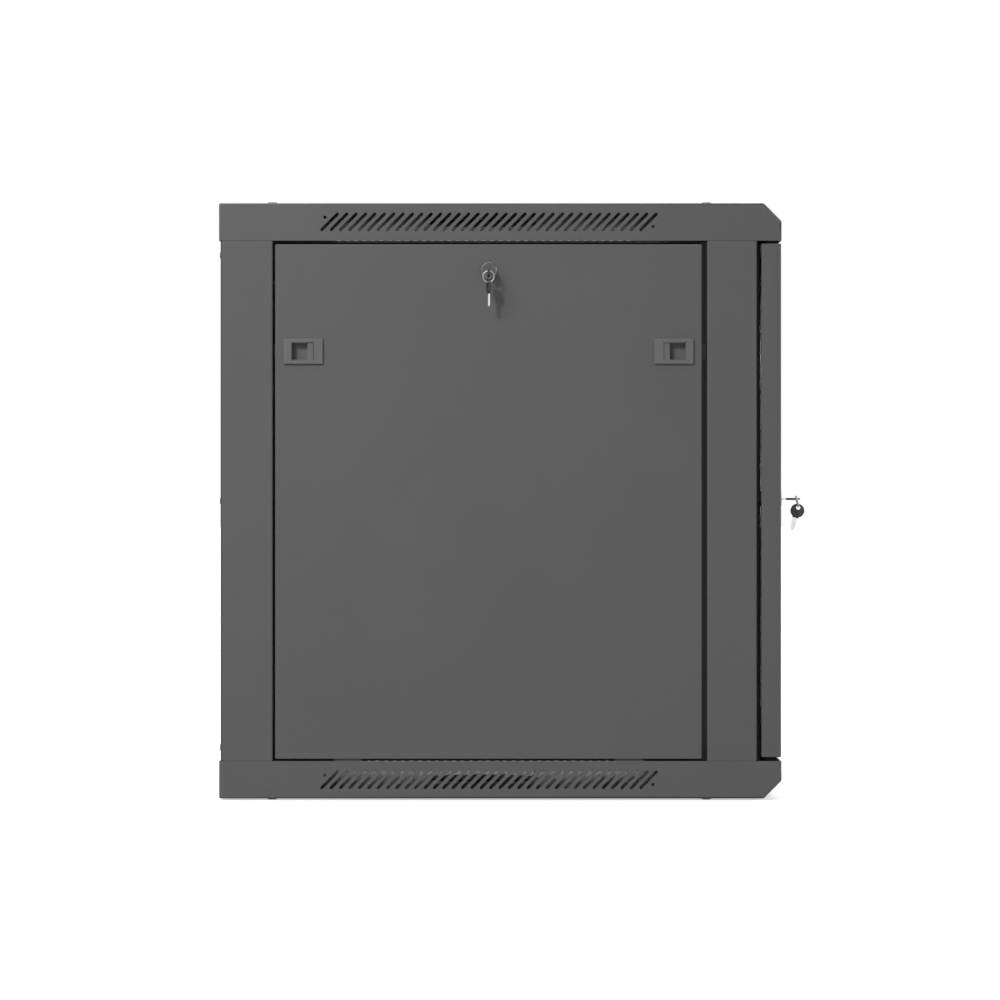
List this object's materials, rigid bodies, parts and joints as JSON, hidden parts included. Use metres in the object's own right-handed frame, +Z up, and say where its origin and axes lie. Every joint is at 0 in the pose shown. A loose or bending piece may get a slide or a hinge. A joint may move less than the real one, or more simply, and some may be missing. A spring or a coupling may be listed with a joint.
{
  "type": "wall-mount network rack cabinet",
  "caption": "Wall-mount 19-inch network cabinet with glazed locking door, latched side panels, slanted vents, square-hole rails and wall fixing holes.",
  "frame": {"origin": "on the plane the cabinet stands on, at the middle of its whole outline seen from above", "axes": "+Z up, front door towards -Y, wall side towards +Y, +X to the right seen from the front"},
  "size_m": [0.6514, 0.6264, 0.639],
  "materials": {
    "powder_coat": "dark grey fine-texture powder coat",
    "rail_paint": "dark grey powder coat on the rails",
    "latch_plastic": "fine-grained grey moulded plastic",
    "zinc_plate": "bright zinc plate",
    "screw_steel": "dark zinc-coated screws",
    "lock_chrome": "satin chrome",
    "key_black": "black moulded key head on a nickel blade",
    "seal_rubber": "matt black foam rubber",
    "safety_glass": "clear tempered glass with a faint grey tint"
  },
  "bodies": {
    "cabinet": {"top_cover": "powder_coat", "bottom_cover": "powder_coat", "cover_screws": "screw_steel", "front_post_left": "powder_coat", "front_post_right": "powder_coat", "rear_post_left": "powder_coat", "rear_post_right": "powder_coat", "rear_panel": "powder_coat", "wall_rails": "powder_coat", "rear_panel_screws": "screw_steel", "depth_rail_upper_left": "rail_paint", "depth_rail_upper_right": "rail_paint", "depth_rail_lower_left": "rail_paint", "depth_rail_lower_right": "rail_paint", "depth_rail_screws": "rail_paint", "front_rail_left": "rail_paint", "front_rail_right": "rail_paint", "rear_rail_left": "rail_paint", "rear_rail_right": "rail_paint", "rail_bolts": "zinc_plate", "cage_nuts": "zinc_plate", "cable_plate_top": "powder_coat", "cable_plate_bottom": "powder_coat", "cable_plate_nuts": "zinc_plate", "hinge_bracket_upper": "powder_coat", "hinge_bracket_lower": "powder_coat", "door_strike": "zinc_plate", "bracket_screws": "zinc_plate"},
    "door": {"door_frame": "powder_coat", "door_glass": "safety_glass", "glass_seal": "seal_rubber", "glass_clips": "zinc_plate", "clip_screws": "zinc_plate", "hinge_pins": "zinc_plate", "door_lock": "lock_chrome"},
    "door_plug": {"door_core": "lock_chrome", "door_cam": "zinc_plate", "door_key": "key_black"},
    "door_key_ring": {"door_ring": "zinc_plate"},
    "door_spare_key": {"door_spare": "key_black"},
    "left_panel": {"side_panel_left": "powder_coat", "latch_bezels_left": "latch_plastic", "side_lock_left": "lock_chrome"},
    "left_front_latch": {"latch_left_front": "latch_plastic"},
    "left_rear_latch": {"latch_left_rear": "latch_plastic"},
    "left_plug": {"side_core_left": "lock_chrome", "side_cam_left": "zinc_plate", "side_key_left": "key_black"},
    "left_key_ring": {"side_ring_left": "zinc_plate"},
    "left_spare_key": {"side_spare_left": "key_black"},
    "right_panel": {"side_panel_right": "powder_coat", "latch_bezels_right": "latch_plastic", "side_lock_right": "lock_chrome"},
    "right_front_latch": {"latch_right_front": "latch_plastic"},
    "right_rear_latch": {"latch_right_rear": "latch_plastic"},
    "right_plug": {"side_core_right": "lock_chrome", "side_cam_right": "zinc_plate", "side_key_right": "key_black"},
    "right_key_ring": {"side_ring_right": "zinc_plate"},
    "right_spare_key": {"side_spare_right": "key_black"}
  },
  "joints": [
    {"name": "door_swing", "type": "hinge", "parent": "cabinet", "child": "door", "pos_m": [0.29, -0.2768, 0.3195], "axis": [0, 0, 1], "range_deg": [0, 170]},
    {"name": "door_lock_turn", "type": "hinge", "parent": "door", "child": "door_plug", "pos_m": [-0.254, -0.2865, 0.3215], "axis": [0, -1, 0], "range_deg": [0, 90]},
    {"name": "door_ring_swing", "type": "hinge", "parent": "door_plug", "child": "door_key_ring", "pos_m": [-0.254, -0.3048, 0.3215], "axis": [1, 0, 0], "range_deg": [-6, 8]},
    {"name": "door_spare_swing", "type": "hinge", "parent": "door_key_ring", "child": "door_spare_key", "pos_m": [-0.2594, -0.30703, 0.31318], "axis": [1, 0, 0], "range_deg": [-50, 4]},
    {"name": "left_panel_tilt", "type": "hinge", "parent": "cabinet", "child": "left_panel", "pos_m": [-0.2996, 0.02575, 0.043], "axis": [0, -1, 0], "range_deg": [0, 25]},
    {"name": "left_front_latch_slide", "type": "slide", "parent": "left_panel", "child": "left_front_latch", "axis": [0, 1, 0], "range_m": [0, 0.0065], "stiffness_N_per_m": 300, "springref_m": -0.002},
    {"name": "left_rear_latch_slide", "type": "slide", "parent": "left_panel", "child": "left_rear_latch", "axis": [0, -1, 0], "range_m": [0, 0.0065], "stiffness_N_per_m": 300, "springref_m": -0.002},
    {"name": "left_lock_turn", "type": "hinge", "parent": "left_panel", "child": "left_plug", "pos_m": [-0.3, 0.02575, 0.565], "axis": [1, 0, 0], "range_deg": [0, 90]},
    {"name": "left_ring_swing", "type": "hinge", "parent": "left_plug", "child": "left_key_ring", "pos_m": [-0.3181, 0.02575, 0.564], "axis": [0, 1, 0], "range_deg": [-6, 15]},
    {"name": "left_spare_swing", "type": "hinge", "parent": "left_key_ring", "child": "left_spare_key", "pos_m": [-0.3181, 0.02575, 0.552], "axis": [0, 1, 0], "range_deg": [-8, 30]},
    {"name": "right_panel_tilt", "type": "hinge", "parent": "cabinet", "child": "right_panel", "pos_m": [0.2996, 0.02575, 0.043], "axis": [0, 1, 0], "range_deg": [0, 25]},
    {"name": "right_front_latch_slide", "type": "slide", "parent": "right_panel", "child": "right_front_latch", "axis": [0, 1, 0], "range_m": [0, 0.0065], "stiffness_N_per_m": 300, "springref_m": -0.002},
    {"name": "right_rear_latch_slide", "type": "slide", "parent": "right_panel", "child": "right_rear_latch", "axis": [0, -1, 0], "range_m": [0, 0.0065], "stiffness_N_per_m": 300, "springref_m": -0.002},
    {"name": "right_lock_turn", "type": "hinge", "parent": "right_panel", "child": "right_plug", "pos_m": [0.3, 0.02575, 0.565], "axis": [1, 0, 0], "range_deg": [0, 90]},
    {"name": "right_ring_swing", "type": "hinge", "parent": "right_plug", "child": "right_key_ring", "pos_m": [0.3181, 0.02575, 0.564], "axis": [0, -1, 0], "range_deg": [-6, 15]},
    {"name": "right_spare_swing", "type": "hinge", "parent": "right_key_ring", "child": "right_spare_key", "pos_m": [0.3181, 0.02575, 0.552], "axis": [0, -1, 0], "range_deg": [-8, 30]}
  ]
}
